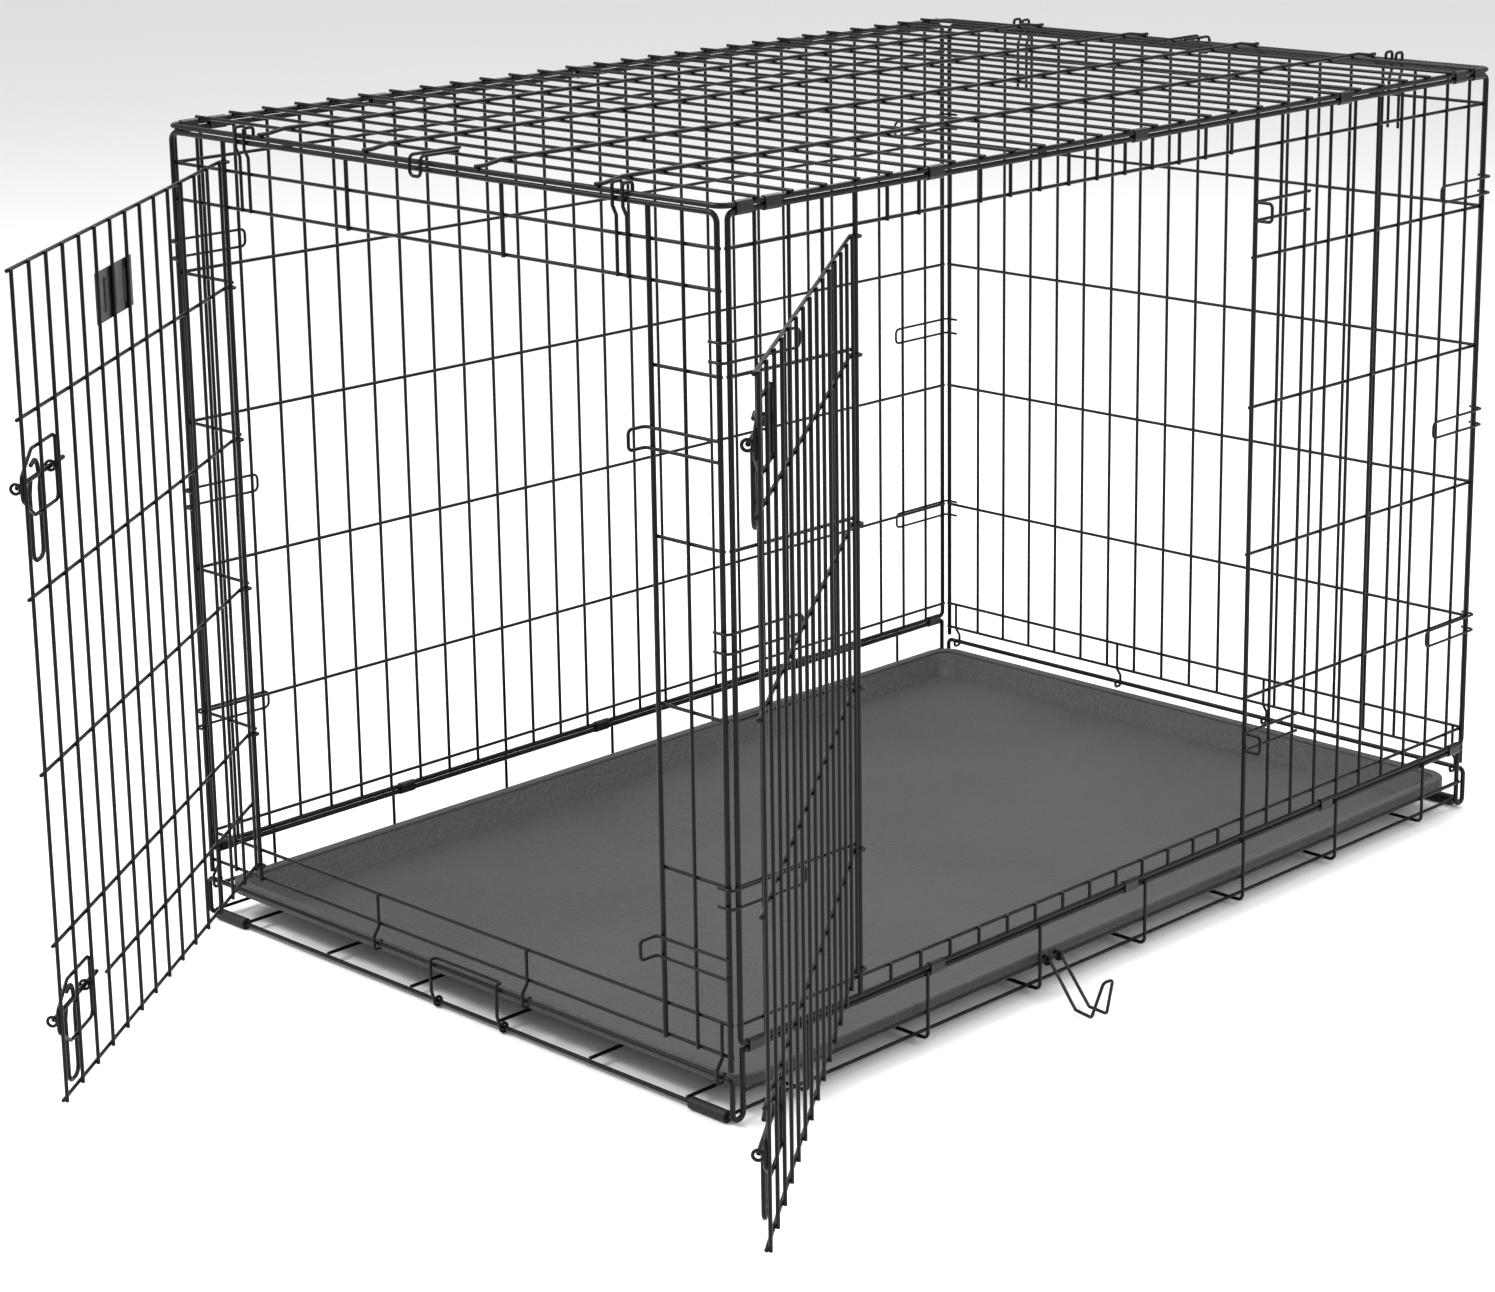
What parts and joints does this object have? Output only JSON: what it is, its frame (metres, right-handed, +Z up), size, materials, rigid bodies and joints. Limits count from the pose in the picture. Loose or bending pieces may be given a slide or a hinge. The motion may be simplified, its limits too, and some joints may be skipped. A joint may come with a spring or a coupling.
{
  "type": "folding wire dog crate",
  "caption": "Black wire dog crate on a wire base with a plastic pan, its end door and side door both standing open on their hinges.",
  "frame": {"origin": "on the floor, under the centre of the crate's base; the open doors reach past the base", "axes": "+X towards the side with the side door, +Y along the length to the rear end, +Z up; the end door is at -Y"},
  "size_m": [1.0184, 1.5104, 0.7693],
  "materials": {
    "black_wire": "satin",
    "pan_plastic": "matte",
    "foot_rubber": "matte",
    "clip_steel": "gloss",
    "plate_plastic": "satin"
  },
  "bodies": {
    "crate": {"left_side_panel": "black_wire", "right_side_panel": "black_wire", "front_panel": "black_wire", "rear_panel": "black_wire", "roof_panel": "black_wire", "front_roof_lock": "black_wire", "rear_roof_lock": "black_wire", "base_frame": "black_wire", "left_roof_clips": "clip_steel", "left_base_clips": "clip_steel", "right_roof_clips": "clip_steel", "right_base_clips": "clip_steel", "front_left_foot_cap": "foot_rubber", "front_right_foot_cap": "foot_rubber", "rear_left_foot_cap": "foot_rubber", "rear_right_foot_cap": "foot_rubber", "front_door_staples": "black_wire", "side_door_staples": "black_wire"},
    "front_door_body": {"front_door": "black_wire", "front_door_hinge_rings": "black_wire", "front_door_upper_latch_housing": "black_wire", "front_door_lower_latch_housing": "black_wire", "front_door_name_plate": "plate_plastic"},
    "side_door_body": {"side_door": "black_wire", "side_door_hinge_rings": "black_wire", "side_door_upper_latch_housing": "black_wire", "side_door_lower_latch_housing": "black_wire"},
    "front_door_upper_slide_bolt_body": {"front_door_upper_slide_bolt": "black_wire"},
    "front_door_lower_slide_bolt_body": {"front_door_lower_slide_bolt": "black_wire"},
    "side_door_upper_slide_bolt_body": {"side_door_upper_slide_bolt": "black_wire"},
    "side_door_lower_slide_bolt_body": {"side_door_lower_slide_bolt": "black_wire"},
    "pan_body": {"pan": "pan_plastic"},
    "pan_stop_body": {"pan_stop": "black_wire"},
    "carry_hook_body": {"carry_hook": "black_wire"}
  },
  "joints": [
    {"name": "front_door_hinge", "type": "hinge", "parent": "crate", "child": "front_door_body", "pos_m": [-0.272, -0.5311, 0.4], "axis": [0, 0, -1], "range_deg": [-54, 106]},
    {"name": "side_door_hinge", "type": "hinge", "parent": "crate", "child": "side_door_body", "pos_m": [0.3531, -0.381, 0.4], "axis": [0, 0, -1], "range_deg": [-144, 16]},
    {"name": "front_door_upper_slide_bolt_slide", "type": "slide", "parent": "front_door_body", "child": "front_door_upper_slide_bolt_body", "axis": [0.5878, -0.809, 0], "range_m": [0, 0.025]},
    {"name": "front_door_lower_slide_bolt_slide", "type": "slide", "parent": "front_door_body", "child": "front_door_lower_slide_bolt_body", "axis": [0.5878, -0.809, 0], "range_m": [0, 0.025]},
    {"name": "side_door_upper_slide_bolt_slide", "type": "slide", "parent": "side_door_body", "child": "side_door_upper_slide_bolt_body", "axis": [0.5878, -0.809, 0], "range_m": [0, 0.025]},
    {"name": "side_door_lower_slide_bolt_slide", "type": "slide", "parent": "side_door_body", "child": "side_door_lower_slide_bolt_body", "axis": [0.5878, -0.809, 0], "range_m": [0, 0.025]},
    {"name": "pan_slide", "type": "slide", "parent": "crate", "child": "pan_body", "axis": [0, -1, 0], "range_m": [0, 0.006]},
    {"name": "pan_stop_hinge", "type": "hinge", "parent": "crate", "child": "pan_stop_body", "pos_m": [0.022, -0.53, 0.0054], "axis": [1, 0, 0], "range_deg": [0, 80]},
    {"name": "carry_hook_hinge", "type": "hinge", "parent": "crate", "child": "carry_hook_body", "pos_m": [0.3536, -0.129, 0.03], "axis": [0, -1, 0], "range_deg": [0, 60]}
  ]
}
